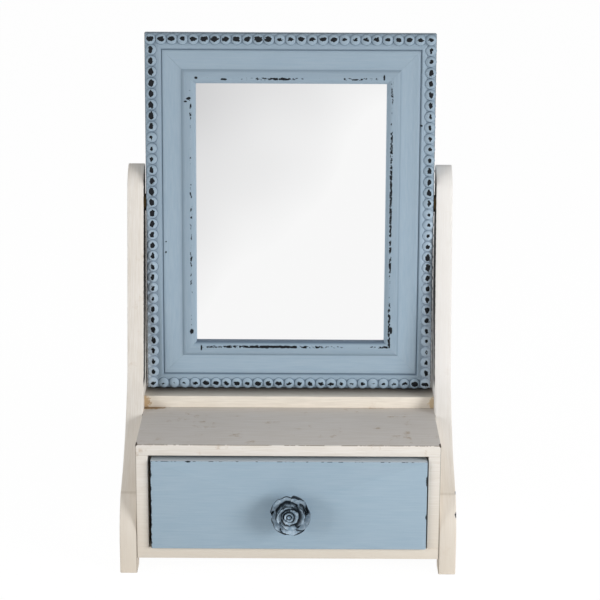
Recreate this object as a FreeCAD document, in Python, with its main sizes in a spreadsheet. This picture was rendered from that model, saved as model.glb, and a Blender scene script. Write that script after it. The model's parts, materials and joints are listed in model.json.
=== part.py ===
import FreeCAD, Part
import math
import operator
import os
import Sketcher

# Table-top vanity mirror: a small wooden box with one drawer between two shaped side panels,
# whose uprights carry a framed mirror that turns about a horizontal axis.
# Millimetres. +Z is up, +X is the user's right, and the drawer front faces -Y.
# The origin is under the middle of the bounding box, at the level the feet stand on.

SIZES = {
    # side panels
    "overall_width": 300.8,
    "panel_thickness": 15.4,
    "panel_depth": 161.0,
    "upright_above_pivot": 33.7,
    "foot_rise": 28.9,
    "crease_back": 17.6,
    "crease_height": 70.0,
    "nose_radius": 56.8,
    "scoop_end_from_rear": 63.9,
    "scoop_end_height": 138.5,
    "scoop_radius": 190.0,
    "neck_from_rear": 52.4,
    "neck_height": 162.0,
    "neck_radius": 64.0,
    "shoulder_from_rear": 20.4,
    "shoulder_drop": 22.0,
    "shoulder_radius": 29.0,
    "top_flat": 2.0,
    "foot_length": 20.0,
    "arch_height": 10.0,
    "arch_run": 8.0,
    "arch_radius": 10.4,
    # box
    "foot_reach": 0.6,
    "rear_margin": 4.0,
    "floor_gap": 14.7,
    "top_board": 10.2,
    "bottom_board": 10.2,
    "side_board": 10.6,
    "opening_height": 86.8,
    "back_sheet": 4.0,
    "rail_height": 11.0,
    "rail_depth": 30.0,
    "rail_inset": 25.4,
    # drawer
    "drawer_gap": 2.0,
    "drawer_offset": 0.7,
    "drawer_top_gap": 3.9,
    "drawer_lift": 0.3,
    "drawer_proud": 3.5,
    "front_board": 15.0,
    "front_tongue": 9.0,
    "drawer_side_board": 8.0,
    "drawer_back_board": 8.0,
    "drawer_rear_gap": 12.0,
    "drawer_side_drop": 14.0,
    "tray_sheet": 3.0,
    "tray_groove": 4.0,
    "tray_height": 6.0,
    "tray_play": 0.5,
    # rose knob
    "rose_radius": 17.8,
    "rose_length": 20.0,
    "bud_radius": 7.5,
    "bud_round": 2.0,
    "middle_radius": 13.0,
    "outer_rim": 10.0,
    "middle_rim": 15.5,
    "petal_lip": 2.2,
    "petal_drop": 4.0,
    "cup_radius": 16.0,
    "stem_length": 8.0,
    "stem_radius": 8.5,
    "stem_waist": 10.0,
    "knob_offset": 1.4,
    "knob_drop": 2.9,
    "knob_screw_radius": 2.0,
    "knob_screw_head": 3.6,
    "knob_head_length": 2.2,
    "knob_screw_bite": 14.0,
    "knob_washer_radius": 6.0,
    "knob_washer_sheet": 1.0,
    # mirror frame
    "swing_gap": 1.9,
    "rail_clearance": 0.8,
    "frame_below": 174.8,
    "frame_above": 156.4,
    "frame_thickness": 20.0,
    "tilt_angle": 4.2,
    "pivot_from_rear": 15.0,
    "moulding_width": 44.9,
    "bead_radius": 4.9,
    "bead_inset": 5.1,
    "bead_strip": 10.5,
    "bead_height": 2.4,
    "beads_across": 27.0,
    "beads_down": 33.0,
    "fillet_end": 14.6,
    "fillet_drop": 1.6,
    "groove_width": 1.2,
    "groove_drop": 3.6,
    "cove_end": 33.0,
    "cove_drop": 3.0,
    "cove_radius": 46.0,
    "band_start": 34.6,
    "band_end": 42.0,
    "band_drop": 0.8,
    "lip_drop": 5.0,
    "rebate_width": 6.0,
    "glass_seat": 11.0,
    "glass_sheet": 3.0,
    "glass_play": 0.5,
    "backing_sheet": 3.0,
    # fasteners and pivots
    "screw_radius": 2.0,
    "screw_head_radius": 3.8,
    "screw_head_length": 2.2,
    "screw_length": 20.0,
    "screw_end_margin": 22.0,
    "dowel_radius": 3.0,
    "dowel_length": 20.0,
    "dowel_end_margin": 7.0,
    "peg_radius": 2.5,
    "peg_length": 18.0,
    "peg_bite": 6.0,
    "peg_end_margin": 20.0,
    "brad_radius": 0.7,
    "brad_length": 16.0,
    "brad_end_margin": 30.0,
    "pivot_radius": 3.0,
    "pivot_clearance": 0.06,
    "pivot_head_radius": 6.0,
    "pivot_head_length": 2.5,
    "pivot_head_sink": 0.5,
    "pivot_head_gap": 0.2,
    "pivot_bite": 18.0,
    "bush_radius": 5.0,
    "insert_radius": 4.5,
    "insert_length": 14.0,
    "washer_radius": 8.0,
    "washer_play": 0.2,
    "nail_width": 8.0,
    "nail_depth": 9.0,
    "nail_sheet": 0.8,
    "nail_inset": 22.0,
}

doc = FreeCAD.newDocument("VanityMirror")
sheet = doc.addObject("Spreadsheet::Sheet", "Sizes")
for row, (alias, number) in enumerate(SIZES.items(), start=1):
    sheet.set(f"A{row}", alias)
    sheet.set(f"B{row}", str(number))
    sheet.setAlias(f"B{row}", alias)
doc.recompute()

OPERATIONS = {"+": operator.add, "-": operator.sub, "*": operator.mul, "/": operator.truediv}


class Size:
    """A number from the sheet, kept with the expression that binds it."""

    def __init__(self, number, text):
        self.number = number
        self.text = text

    def __add__(self, other):
        return combine(self, "+", other)

    def __radd__(self, other):
        return combine(other, "+", self)

    def __sub__(self, other):
        return combine(self, "-", other)

    def __rsub__(self, other):
        return combine(other, "-", self)

    def __mul__(self, other):
        return combine(self, "*", other)

    def __rmul__(self, other):
        return combine(other, "*", self)

    def __truediv__(self, other):
        return combine(self, "/", other)

    def __neg__(self):
        return combine(0.0, "-", self)


def as_size(item):
    return item if isinstance(item, Size) else Size(float(item), repr(float(item)))


def combine(left, sign, right):
    left, right = as_size(left), as_size(right)
    return Size(OPERATIONS[sign](left.number, right.number), f"({left.text} {sign} {right.text})")


def sine(angle):
    return Size(math.sin(math.radians(angle.number)), f"sin({angle.text})")


def cosine(angle):
    return Size(math.cos(math.radians(angle.number)), f"cos({angle.text})")


def root(item):
    return Size(math.sqrt(item.number), f"sqrt({item.text})")


def size(alias):
    return Size(float(sheet.get(alias)), f"Sizes.{alias}")


# ---------------------------------------------------------------- helpers

TURNS = {
    "+x": ("0; 1; 0", 90.0),
    "-x": ("0; 1; 0", -90.0),
    "+y": ("1; 0; 0", -90.0),
    "-y": ("1; 0; 0", 90.0),
    "+z": ("0; 0; 1", 0.0),
    "-z": ("1; 0; 0", 180.0),
}
STAND = ""
parts = {}


def placement(at, axis="0; 0; 1", angle=0.0):
    """The expression of a placement: a point, and a turn about an axis."""
    x, y, z = (as_size(item).text for item in at)
    return f"placement(vector({x}; {y}; {z}); rotation(vector({axis}); {as_size(angle).text}))"


def put(item, at, facing="+z", frame=STAND):
    """Place an object so that its own +Z points along facing."""
    axis, angle = TURNS[facing]
    item.setExpression("Placement", frame + placement(at, axis, angle))
    return item


def bind(item, **bindings):
    for name, value in bindings.items():
        item.setExpression(name, as_size(value).text)
    return item


def keep(name, item):
    """Register a finished sub-part under the name of its node."""
    item.Label = name
    parts[name] = item
    return item


def board(name, corner, extent, frame=STAND):
    item = doc.addObject("Part::Box", name)
    bind(item, Length=extent[0], Width=extent[1], Height=extent[2])
    return put(item, corner, frame=frame)


def rod(name, radius, length, at, facing, frame=STAND):
    item = doc.addObject("Part::Cylinder", name)
    bind(item, Radius=radius, Height=length)
    return put(item, at, facing, frame)


def cone(name, radius_one, radius_two, length, at, facing, frame=STAND):
    item = doc.addObject("Part::Cone", name)
    bind(item, Radius1=radius_one, Radius2=radius_two, Height=length)
    return put(item, at, facing, frame)


def gather(name, items):
    """Separate solids kept as one object."""
    item = doc.addObject("Part::Compound", name)
    item.Links = items
    return item


def fuse(name, items):
    item = doc.addObject("Part::MultiFuse", name)
    item.Shapes = items
    return item


def carve(name, blank, tools):
    """Cut each tool in turn out of the blank."""
    for count, tool in enumerate(tools, start=1):
        item = doc.addObject("Part::Cut", f"{name}_cut_{count}")
        item.Base = blank
        item.Tool = tool
        blank = item
    return blank


def plane(body, role):
    return next(item for item in body.Origin.OriginFeatures if item.Role == role)


def outline(body, name, role, start, steps):
    """Sketch a closed outline: each step is (point) for a line or (point, radius, side) for an arc.

    side is +1 where the arc's centre lies left of the way of travel, and -1 where it lies right.
    """
    sketch = body.newObject("Sketcher::SketchObject", name)
    sketch.AttachmentSupport = (plane(body, role), [""])
    sketch.MapMode = "FlatFace"
    ends = []
    here = start
    for step in steps:
        there = step[0]
        a = FreeCAD.Vector(as_size(here[0]).number, as_size(here[1]).number, 0)
        b = FreeCAD.Vector(as_size(there[0]).number, as_size(there[1]).number, 0)
        if len(step) == 1:
            edge = sketch.addGeometry(Part.LineSegment(a, b), False)
            first, last = 1, 2
        else:
            radius, side = step[1], step[2]
            chord = b - a
            reach = math.sqrt(radius.number ** 2 - chord.Length ** 2 / 4)
            left = FreeCAD.Vector(-chord.y, chord.x, 0).normalize()
            centre = (a + b) * 0.5 + left * (side * reach)
            circle = Part.Circle(centre, FreeCAD.Vector(0, 0, 1), radius.number)
            one, two = (a, b) if side > 0 else (b, a)
            angles = [math.atan2(point.y - centre.y, point.x - centre.x) for point in (one, two)]
            edge = sketch.addGeometry(Part.ArcOfCircle(circle, angles[0], angles[1]), False)
            first, last = (1, 2) if side > 0 else (2, 1)
            rule = sketch.addConstraint(Sketcher.Constraint("Radius", edge, radius.number))
            sketch.setExpression(f"Constraints[{rule}]", radius.text)
        for kind, value in zip(("DistanceX", "DistanceY"), here):
            value = as_size(value)
            rule = sketch.addConstraint(Sketcher.Constraint(kind, -1, 1, edge, first, value.number))
            sketch.setExpression(f"Constraints[{rule}]", value.text)
        ends.append((edge, first, last))
        here = there
    for (edge, _, last), (following, first, _) in zip(ends, ends[1:] + ends[:1]):
        sketch.addConstraint(Sketcher.Constraint("Coincident", edge, last, following, first))
    return sketch


def padded(name, role, start, steps, length):
    """A body made by padding one outline."""
    body = doc.addObject("PartDesign::Body", name)
    sketch = outline(body, name + "_outline", role, start, steps)
    pad = body.newObject("PartDesign::Pad", name + "_pad")
    pad.Profile = sketch
    bind(pad, Length=length)
    return body


def turned(name, start, steps):
    """A body of revolution about its own Z: the outline's points are (radius, height)."""
    body = doc.addObject("PartDesign::Body", name)
    sketch = outline(body, name + "_outline", "XZ_Plane", start, steps)
    revolution = body.newObject("PartDesign::Revolution", name + "_revolution")
    revolution.Profile = sketch
    revolution.ReferenceAxis = (sketch, ["V_Axis"])
    revolution.Angle = 360.0
    return body


def lines(*points):
    return [(point,) for point in points]


# ---------------------------------------------------------------- shared places

tilt = size("tilt_angle")
thickness = size("frame_thickness")
half_inside = size("overall_width") / 2 - size("panel_thickness")
half_outside = size("overall_width") / 2

pivot_back = size("panel_depth") - size("foot_reach") - size("pivot_from_rear")
back_reach = pivot_back + size("frame_above") * sine(tilt) + thickness / 2 * cosine(tilt)
front_reach = size("drawer_proud") + size("stem_length") + size("rose_length")
box_front = (front_reach - back_reach) / 2

foot_front = box_front - size("foot_reach")
panel_rear = foot_front + size("panel_depth")
box_rear = panel_rear - size("rear_margin")
box_depth = box_rear - box_front

box_floor = size("floor_gap")
opening_floor = box_floor + size("bottom_board")
opening_roof = opening_floor + size("opening_height")
box_roof = opening_roof + size("top_board")
half_opening = half_inside - size("side_board")

rail_roof = box_roof + size("rail_height")
rail_rear = panel_rear - size("rail_inset")
rail_front = rail_rear - size("rail_depth")

corner_reach = root(size("frame_below") * size("frame_below") + thickness * thickness / 4)
pivot_height = rail_roof + size("rail_clearance") + corner_reach
pivot_y = box_front + pivot_back
panel_roof = pivot_height + size("upright_above_pivot")

half_frame = half_inside - size("swing_gap")
frame_height = size("frame_below") + size("frame_above")
# The mirror's own axes: X across, Y up along the glass, Z out of its face, from the pivot.
MIRROR = placement((0, pivot_y, pivot_height), "1; 0; 0", 90.0 - tilt) + " * "


# ---------------------------------------------------------------- fasteners

def along(start, stop, count):
    """Evenly spaced places from start to stop."""
    return [start + (stop - start) * (step / (count - 1)) for step in range(count)]


def screw(name, at, facing, frame=STAND):
    """A countersunk wood screw along X: its head is flush at the point, and its tip is at facing."""
    sign = 1 if facing == "+x" else -1
    neck = (at[0] + size("screw_head_length") * sign, at[1], at[2])
    shank = size("screw_length") - size("screw_head_length")
    head = cone(name + "_head", size("screw_head_radius"), size("screw_radius"),
                size("screw_head_length"), at, facing, frame)
    stem = rod(name + "_shank", size("screw_radius"), shank, neck, facing, frame)
    return fuse(name, [head, stem])


def make_panel_screws():
    """Screws from inside the box, through its side boards and into the side panels."""
    screws = []
    margin = size("screw_end_margin")
    middle = opening_floor + size("opening_height") / 2
    for side, sign, facing in (("left", -1, "-x"), ("right", 1, "+x")):
        for count, y in enumerate(along(box_front + margin, box_rear - margin, 3)):
            screws.append(screw(f"panel_screw_{side}_{count}", (half_opening * sign, y, middle), facing))
    return gather("panel_screws", screws)


def make_rail_dowels():
    """Dowels across the joints between the rear rail and the side panels."""
    dowels = []
    margin = size("dowel_end_margin")
    reach = half_inside - size("dowel_length") / 2
    z = box_roof + size("rail_height") / 2
    for side, start in (("left", -reach - size("dowel_length")), ("right", reach)):
        for count, y in enumerate((rail_front + margin, rail_rear - margin)):
            dowels.append(rod(f"rail_dowel_{side}_{count}", size("dowel_radius"),
                              size("dowel_length"), (start, y, z), "+x"))
    return gather("rail_dowels", dowels)


def make_carcass_dowels():
    """Dowels that join the box's side boards to its top and bottom boards."""
    dowels = []
    margin = size("peg_end_margin")
    levels = (("low", opening_floor - size("peg_bite")),
              ("high", opening_roof + size("peg_bite") - size("peg_length")))
    x = half_inside - size("side_board") / 2
    for side in (-1, 1):
        for level, z in levels:
            for count, y in enumerate(along(box_front + margin, box_rear - margin, 3)):
                name = f"carcass_dowel_{level}_{'left' if side < 0 else 'right'}_{count}"
                dowels.append(rod(name, size("peg_radius"), size("peg_length"),
                                  (side * x, y, z), "+z"))
    return gather("carcass_dowels", dowels)


def make_back_brads():
    """Brads through the back sheet into the edges of the top and bottom boards."""
    brads = []
    reach = half_inside - size("brad_end_margin")
    rows = (("low", opening_floor - size("bottom_board") / 2),
            ("high", opening_roof + size("top_board") / 2))
    for level, z in rows:
        for count, x in enumerate(along(-reach, reach, 4)):
            brads.append(rod(f"back_brad_{level}_{count}", size("brad_radius"),
                             size("brad_length"), (x, box_rear, z), "-y"))
    return gather("back_brads", brads)


# ---------------------------------------------------------------- stand

def make_side_panel(side, sockets):
    """One shaped side: foot, swept nose and scoop, leaning upright, and an arch between the feet."""
    depth = size("panel_depth")
    crease = (size("crease_back"), size("crease_height"))
    scoop_end = (depth - size("scoop_end_from_rear"), size("scoop_end_height"))
    neck = (depth - size("neck_from_rear"), size("neck_height"))
    shoulder = (depth - size("shoulder_from_rear"), panel_roof - size("shoulder_drop"))
    crown = (depth - size("top_flat"), panel_roof)
    foot, run, rise = size("foot_length"), size("arch_run"), size("arch_height")
    steps = [
        ((foot, 0),),
        ((foot + run, rise), size("arch_radius"), -1),
        ((depth - foot - run, rise),),
        ((depth - foot, 0), size("arch_radius"), -1),
        ((depth, 0),),
        ((depth, panel_roof),),
        (crown,),
        (shoulder, size("shoulder_radius"), 1),
        (neck,),
        (scoop_end, size("neck_radius"), -1),
        (crease, size("scoop_radius"), -1),
        ((0, size("foot_rise")), size("nose_radius"), 1),
        ((0, 0),),
    ]
    name = f"side_panel_{side}"
    body = padded(name + "_blank", "YZ_Plane", (0, 0), steps, size("panel_thickness"))
    x = -half_outside if side == "left" else half_inside
    put(body, (x, foot_front, 0))
    keep(name, carve(name, body, sockets))


def make_box(screws, dowels, rail_dowels, brads):
    width = half_inside * 2
    inner = box_depth - size("back_sheet")
    bottom = board("box_bottom_blank", (-half_inside, box_front, box_floor),
                   (width, inner, size("bottom_board")))
    keep("box_bottom", carve("box_bottom", bottom, [dowels, brads]))
    top = board("box_top_blank", (-half_inside, box_front, opening_roof),
                (width, inner, size("top_board")))
    keep("box_top", carve("box_top", top, [dowels, brads]))
    for side, x in (("left", -half_inside), ("right", half_opening)):
        blank = board(f"box_side_{side}_blank", (x, box_front, opening_floor),
                      (size("side_board"), inner, size("opening_height")))
        keep(f"box_side_{side}", carve(f"box_side_{side}", blank, [screws, dowels]))
    back = board("box_back_blank", (-half_inside, box_rear - size("back_sheet"), box_floor),
                 (width, size("back_sheet"), box_roof - box_floor))
    keep("box_back", carve("box_back", back, [brads]))
    rail = board("rear_rail_blank", (-half_inside, rail_front, box_roof),
                 (width, size("rail_depth"), size("rail_height")))
    keep("rear_rail", carve("rear_rail", rail, [rail_dowels]))


# ---------------------------------------------------------------- pivots

bolt_radius = size("pivot_radius")
bush_bore = bolt_radius + size("pivot_clearance")
recess_depth = size("pivot_head_sink") + size("pivot_head_length") + size("pivot_head_gap")
recess_radius = size("pivot_head_radius") + size("pivot_head_gap")
washer_thickness = size("swing_gap") - size("washer_play")
bush_length = size("panel_thickness") - recess_depth
# The pivots are built from the outer face of each upright inwards.
SIDES = {"left": (-1, "+x"), "right": (1, "-x")}


def pivot_point(side, depth):
    """A point on the pivot axis, so deep inside the upright's outer face."""
    sign = SIDES[side][0]
    return ((half_outside - depth) * sign, pivot_y, pivot_height)


def make_pivot(side):
    """A bolt in a brass bush, with a washer beside the frame, screwed into a brass insert."""
    facing = SIDES[side][1]
    bush = turned(f"pivot_bush_{side}", (bush_bore, 0),
                  lines((size("bush_radius"), 0), (size("bush_radius"), bush_length),
                        (bush_bore, bush_length), (bush_bore, 0)))
    put(bush, pivot_point(side, recess_depth), facing)
    keep(f"pivot_bush_{side}", bush)

    head = size("pivot_head_length")
    to_frame = size("panel_thickness") + size("swing_gap") - size("pivot_head_sink")
    length = to_frame + size("pivot_bite")
    bolt = turned(f"pivot_bolt_{side}", (0, 0),
                  lines((size("pivot_head_radius"), 0), (size("pivot_head_radius"), head),
                        (bolt_radius, head), (bolt_radius, length), (0, length), (0, 0)))
    put(bolt, pivot_point(side, size("pivot_head_sink")), facing)
    keep(f"pivot_bolt_{side}", bolt)

    washer = turned(f"pivot_washer_{side}", (bush_bore, 0),
                    lines((size("washer_radius"), 0), (size("washer_radius"), washer_thickness),
                          (bush_bore, washer_thickness), (bush_bore, 0)))
    put(washer, pivot_point(side, size("panel_thickness") + size("washer_play")), facing)
    keep(f"pivot_washer_{side}", washer)

    insert = turned(f"pivot_insert_{side}", (bolt_radius, 0),
                    lines((size("insert_radius"), 0), (size("insert_radius"), size("insert_length")),
                          (bolt_radius, size("insert_length")), (bolt_radius, 0)))
    put(insert, pivot_point(side, size("panel_thickness") + size("swing_gap")), facing)
    keep(f"pivot_insert_{side}", insert)


def make_upright_bore(side):
    """What is bored out of an upright: the bush's hole and the recess for the bolt's head."""
    facing = SIDES[side][1]
    recess = rod(f"upright_recess_{side}", recess_radius, recess_depth,
                 pivot_point(side, 0), facing)
    bore = rod(f"upright_bore_{side}", size("bush_radius"), size("panel_thickness"),
               pivot_point(side, 0), facing)
    return fuse(f"upright_hole_{side}", [recess, bore])


def make_frame_bore(side):
    """What is bored out of the frame's side: the insert's hole and the bolt's own end."""
    facing = SIDES[side][1]
    start = size("panel_thickness") + size("swing_gap")
    bore = rod(f"frame_bore_{side}", size("insert_radius"), size("insert_length"),
               pivot_point(side, start), facing)
    tip = rod(f"frame_tip_{side}", bolt_radius, size("pivot_bite"), pivot_point(side, start), facing)
    return fuse(f"frame_hole_{side}", [bore, tip])


# ---------------------------------------------------------------- mirror

def moulding_steps():
    """The frame's section: how far in from the outer edge, and how high above its back."""
    crest = thickness - size("band_drop")
    bed = thickness - size("groove_drop")
    lip = thickness - size("lip_drop")
    strip = thickness - size("bead_height")
    ledge = thickness - size("fillet_drop")
    groove = size("fillet_end") + size("groove_width")
    inner, rebate = size("moulding_width"), size("moulding_width") - size("rebate_width")
    cove = thickness - size("cove_drop")
    return [
        ((rebate, 0),),
        ((rebate, size("glass_seat")),),
        ((inner, size("glass_seat")),),
        ((inner, lip),),
        ((size("band_end"), crest),),
        ((size("band_start"), crest),),
        ((size("cove_end"), cove),),
        ((groove, cove), size("cove_radius"), -1),
        ((groove, bed),),
        ((size("fillet_end"), bed),),
        ((size("fillet_end"), ledge),),
        ((size("bead_strip"), ledge),),
        ((size("bead_strip"), strip),),
        ((0, strip),),
        ((0, 0),),
    ]


def make_frame_rail(name, length, beads, at, angle, tools):
    """One mitred length of moulding with its row of carved beads."""
    body = padded(name + "_blank", "YZ_Plane", (0, 0), moulding_steps(), length)
    bead = body.newObject("PartDesign::AdditiveSphere", name + "_bead")
    bind(bead, Radius=size("bead_radius"))
    inset = size("bead_inset")
    centre = placement((inset, inset, thickness - size("bead_radius")))
    bead.AttachmentSupport = (plane(body, "XY_Plane"), [""])
    bead.MapMode = "FlatFace"
    bead.setExpression("AttachmentOffset", centre)
    row = body.newObject("PartDesign::LinearPattern", name + "_row")
    row.Originals = [bead]
    row.Direction = (plane(body, "YZ_Plane"), [""])
    bind(row, Length=length - inset * 2, Occurrences=beads)
    body.Tip = row
    wide = size("moulding_width") + size("rebate_width")
    for end, start in (("near", as_size(0)), ("far", length)):
        turn = wide if end == "near" else -wide
        sketch = outline(body, f"{name}_{end}_mitre", "XY_Plane", (start, 0),
                         lines((start + turn, wide), (start, wide), (start, 0)))
        pocket = body.newObject("PartDesign::Pocket", f"{name}_{end}_cut")
        pocket.Profile = sketch
        pocket.Type = "ThroughAll"
        pocket.SideType = "Symmetric"
        body.Tip = pocket
    body.setExpression("Placement", MIRROR + placement(at, "0; 0; 1", angle))
    keep(name, carve(name, body, tools))


def make_corner_nails():
    """V-nails driven from behind across each mitre."""
    nails = []
    inset = size("nail_inset")
    x, low, high = half_frame - inset, inset - size("frame_below"), size("frame_above") - inset
    leg, sheet_width = size("nail_width"), size("nail_sheet")
    corners = ((x, high, 0.0), (-x, high, 90.0), (-x, low, 180.0), (x, low, 270.0))
    for count, (across, up, angle) in enumerate(corners):
        steps = lines((leg, 0), (leg, sheet_width), (sheet_width, sheet_width),
                      (sheet_width, leg), (0, leg), (0, 0))
        nail = padded(f"corner_nail_{count}", "XY_Plane", (0, 0), steps, size("nail_depth"))
        at = (across, up, -thickness / 2)
        nail.setExpression("Placement", MIRROR + placement(at, "0; 0; 1", angle))
        nails.append(nail)
    return gather("corner_nails", nails)


def make_backing_brads():
    """Brads driven into the rebate's walls, close behind the backing board."""
    brads = []
    rebate = size("moulding_width") - size("rebate_width")
    behind = size("glass_seat") - size("glass_sheet") - size("backing_sheet") - thickness / 2
    z = behind - size("brad_radius")
    half, radius, length = size("brad_length") / 2, size("brad_radius"), size("brad_length")
    x = half_frame - rebate
    low, high = rebate - size("frame_below"), size("frame_above") - rebate
    margin = size("brad_end_margin")
    for count, across in enumerate(along(margin - x, x - margin, 2)):
        brads.append(rod(f"backing_brad_low_{count}", radius, length,
                         (across, low + half, z), "-y", MIRROR))
        brads.append(rod(f"backing_brad_high_{count}", radius, length,
                         (across, high - half, z), "+y", MIRROR))
    for count, up in enumerate(along(low + margin, high - margin, 2)):
        brads.append(rod(f"backing_brad_left_{count}", radius, length,
                         (half - x, up, z), "-x", MIRROR))
        brads.append(rod(f"backing_brad_right_{count}", radius, length,
                         (x - half, up, z), "+x", MIRROR))
    return gather("backing_brads", brads)


def make_mirror():
    nails = keep("corner_nails", make_corner_nails())
    brads = keep("backing_brads", make_backing_brads())
    across, down = size("beads_across"), size("beads_down")
    left, low, back = -half_frame, -size("frame_below"), -thickness / 2
    width = half_frame * 2
    make_frame_rail("frame_rail_bottom", width, across, (left, low, back), 0.0, [nails, brads])
    make_frame_rail("frame_rail_top", width, across,
                    (half_frame, size("frame_above"), back), 180.0, [nails, brads])
    make_frame_rail("frame_rail_right", frame_height, down, (half_frame, low, back), 90.0,
                    [nails, brads, make_frame_bore("right")])
    make_frame_rail("frame_rail_left", frame_height, down, (left, size("frame_above"), back), 270.0,
                    [nails, brads, make_frame_bore("left")])

    edge = size("moulding_width") - size("rebate_width") + size("glass_play")
    span = (width - edge * 2, frame_height - edge * 2)
    front = back + size("glass_seat")
    glass = board("mirror_glass", (left + edge, low + edge, front - size("glass_sheet")),
                  (*span, size("glass_sheet")), MIRROR)
    keep("mirror_glass", glass)
    behind = front - size("glass_sheet") - size("backing_sheet")
    backing = board("backing_board", (left + edge, low + edge, behind),
                    (*span, size("backing_sheet")), MIRROR)
    keep("backing_board", backing)


# ---------------------------------------------------------------- drawer

drawer_x = size("drawer_offset")
half_drawer = half_opening - size("drawer_gap")
drawer_front = box_front - size("drawer_proud")
front_rear = drawer_front + size("front_board")
drawer_rear = box_rear - size("back_sheet") - size("drawer_rear_gap")
drawer_floor = opening_floor + size("drawer_lift")
front_height = size("opening_height") - size("drawer_lift") - size("drawer_top_gap")
side_height = front_height - size("drawer_side_drop")
tray_floor = drawer_floor + size("tray_height")
tray_roof = tray_floor + size("tray_sheet")
half_tray = half_drawer - size("drawer_side_board") + size("tray_groove")
knob_x = drawer_x + size("knob_offset")
knob_z = drawer_floor + front_height / 2 - size("knob_drop")


def make_drawer_brads():
    """Brads through the drawer's sides into the ends of its front and back boards."""
    brads = []
    levels = along(drawer_floor + size("brad_end_margin") / 2,
                   drawer_floor + side_height - size("brad_end_margin") / 2, 3)
    rows = (("front", front_rear - size("front_tongue") / 2),
            ("back", drawer_rear - size("drawer_back_board") / 2))
    for side, sign, facing in (("left", -1, "+x"), ("right", 1, "-x")):
        for row_name, y in rows:
            for count, z in enumerate(levels):
                brads.append(rod(f"drawer_brad_{side}_{row_name}_{count}", size("brad_radius"),
                                 size("brad_length"), (drawer_x + half_drawer * sign, y, z), facing))
    return gather("drawer_brads", brads)


def make_drawer():
    """A nailed drawer: the sides lap the front in rebates, and the bottom slides in a groove."""
    brads = keep("drawer_brads", make_drawer_brads())
    width = half_drawer * 2
    side_board, tongue = size("drawer_side_board"), size("front_tongue")
    side_length = drawer_rear - front_rear + tongue
    groove = board("drawer_groove",
                   (drawer_x - half_tray, front_rear - size("tray_groove"), tray_floor),
                   (half_tray * 2, drawer_rear - front_rear + size("tray_groove"), size("tray_sheet")))
    laps = []
    for side, x in (("left", drawer_x - half_drawer), ("right", drawer_x + half_drawer - side_board)):
        at = (x, front_rear - tongue, drawer_floor)
        extent = (side_board, side_length, side_height)
        laps.append(board(f"drawer_lap_{side}", at, extent))
        blank = board(f"drawer_side_{side}_blank", at, extent)
        keep(f"drawer_side_{side}", carve(f"drawer_side_{side}", blank, [groove, brads]))

    screw_body = make_knob_fixings()
    blank = board("drawer_front_blank", (drawer_x - half_drawer, drawer_front, drawer_floor),
                  (width, size("front_board"), front_height))
    keep("drawer_front", carve("drawer_front", blank, [*laps, groove, brads, screw_body]))
    inner = half_drawer - side_board
    back = board("drawer_back_blank",
                 (drawer_x - inner, drawer_rear - size("drawer_back_board"), tray_roof),
                 (inner * 2, size("drawer_back_board"), drawer_floor + side_height - tray_roof))
    keep("drawer_back", carve("drawer_back", back, [brads]))
    play = size("tray_play")
    tray = board("drawer_bottom",
                 (drawer_x - half_tray + play, front_rear - size("tray_groove") + play, tray_floor),
                 ((half_tray - play) * 2, drawer_rear - front_rear + size("tray_groove") - play,
                  size("tray_sheet")))
    keep("drawer_bottom", tray)


def make_knob_fixings():
    """The knob's screw and washer, inside the drawer. Returns the screw, which bores the rest."""
    head, sheet_washer = size("knob_head_length"), size("knob_washer_sheet")
    radius = size("knob_screw_radius")
    length = head + sheet_washer + size("front_board") + size("knob_screw_bite")
    fixing = turned("knob_screw", (0, 0),
                    lines((size("knob_screw_head"), 0), (size("knob_screw_head"), head),
                          (radius, head), (radius, length), (0, length), (0, 0)))
    put(fixing, (knob_x, front_rear + sheet_washer + head, knob_z), "-y")
    keep("knob_screw", fixing)
    washer = turned("knob_washer", (radius, 0),
                    lines((size("knob_washer_radius"), 0), (size("knob_washer_radius"), sheet_washer),
                          (radius, sheet_washer), (radius, 0)))
    put(washer, (knob_x, front_rear + sheet_washer, knob_z), "-y")
    keep("knob_washer", washer)
    return fixing


def make_knob(fixing):
    """A rose: a waisted stem, and rings of petals about a bud."""
    stem, length = size("stem_radius"), size("stem_length")
    base = turned("knob_stem_blank", (0, 0),
                  [((stem, 0),), ((stem, length), size("stem_waist"), -1), ((0, length),), ((0, 0),)])
    put(base, (knob_x, drawer_front, knob_z), "-y")
    keep("knob_stem", carve("knob_stem", base, [fixing]))

    lip, drop, soft = size("petal_lip"), size("petal_drop"), size("bud_round")
    outer, middle, bud = size("rose_radius"), size("middle_radius"), size("bud_radius")
    outer_rim, middle_rim, tip = size("outer_rim"), size("middle_rim"), size("rose_length")
    rose = turned("knob_rose_blank", (0, 0), [
        ((stem, 0),),
        ((outer, outer_rim), size("cup_radius"), 1),
        ((outer - lip, outer_rim),),
        ((middle, outer_rim - drop),),
        ((middle, middle_rim),),
        ((middle - lip, middle_rim),),
        ((bud, middle_rim - drop),),
        ((bud, tip - soft),),
        ((bud - soft, tip),),
        ((0, tip),),
        ((0, 0),),
    ])
    put(rose, (knob_x, drawer_front - length, knob_z), "-y")
    keep("knob_rose", carve("knob_rose", rose, [fixing]))


# ---------------------------------------------------------------- assembly

screws = keep("panel_screws", make_panel_screws())
dowels = keep("carcass_dowels", make_carcass_dowels())
rail_dowels = keep("rail_dowels", make_rail_dowels())
back_brads = keep("back_brads", make_back_brads())
make_box(screws, dowels, rail_dowels, back_brads)
for hand in SIDES:
    make_side_panel(hand, [screws, rail_dowels, make_upright_bore(hand)])
    make_pivot(hand)
make_mirror()
make_drawer()
make_knob(parts["knob_screw"])
doc.recompute()

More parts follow.
